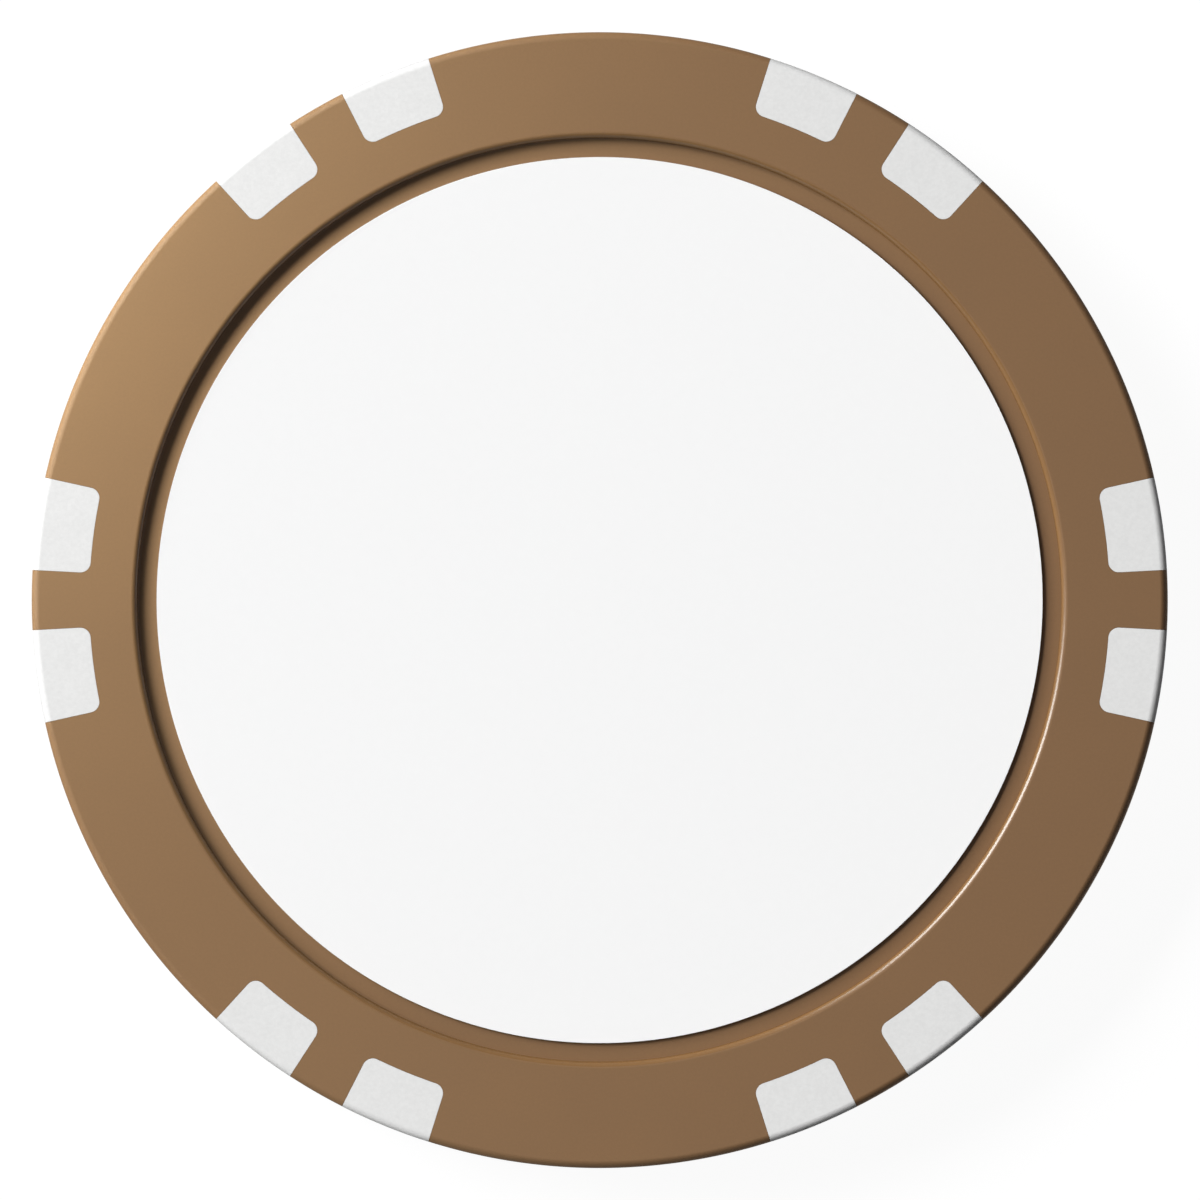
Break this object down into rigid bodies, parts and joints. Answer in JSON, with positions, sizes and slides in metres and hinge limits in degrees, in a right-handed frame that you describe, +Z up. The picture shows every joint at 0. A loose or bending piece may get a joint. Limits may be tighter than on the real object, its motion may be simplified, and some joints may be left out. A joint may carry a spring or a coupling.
{
  "type": "dealer button",
  "caption": "Weighted round table button: two welded shells round a steel slug, contrasting edge spots keyed in the rim, and a blank label recessed in each face.",
  "frame": {"origin": "centre of the face that the button lies on, at the bottom of its bounding box", "axes": "+Z up through the thickness, the axis of the disc; +X passes between the two edge spots of a pair"},
  "size_m": [0.06, 0.06, 0.005],
  "materials": {
    "brown_body": "satin moulded plastic, fine grain",
    "white_spots": "matt moulded plastic, very fine mottled grain",
    "label_film": "smooth matt film, unprinted",
    "label_adhesive": "thin pressure-sensitive adhesive",
    "steel_slug": "punched steel blank, sealed inside"
  },
  "bodies": {
    "root": {"lower_shell": "brown_body", "upper_shell": "brown_body", "weight_slug": "steel_slug", "edge_spot_01": "white_spots", "edge_spot_02": "white_spots", "edge_spot_03": "white_spots", "edge_spot_04": "white_spots", "edge_spot_05": "white_spots", "edge_spot_06": "white_spots", "edge_spot_07": "white_spots", "edge_spot_08": "white_spots", "edge_spot_09": "white_spots", "edge_spot_10": "white_spots", "edge_spot_11": "white_spots", "edge_spot_12": "white_spots", "top_adhesive": "label_adhesive", "top_label": "label_film", "bottom_adhesive": "label_adhesive", "bottom_label": "label_film"}
  },
  "joints": []
}
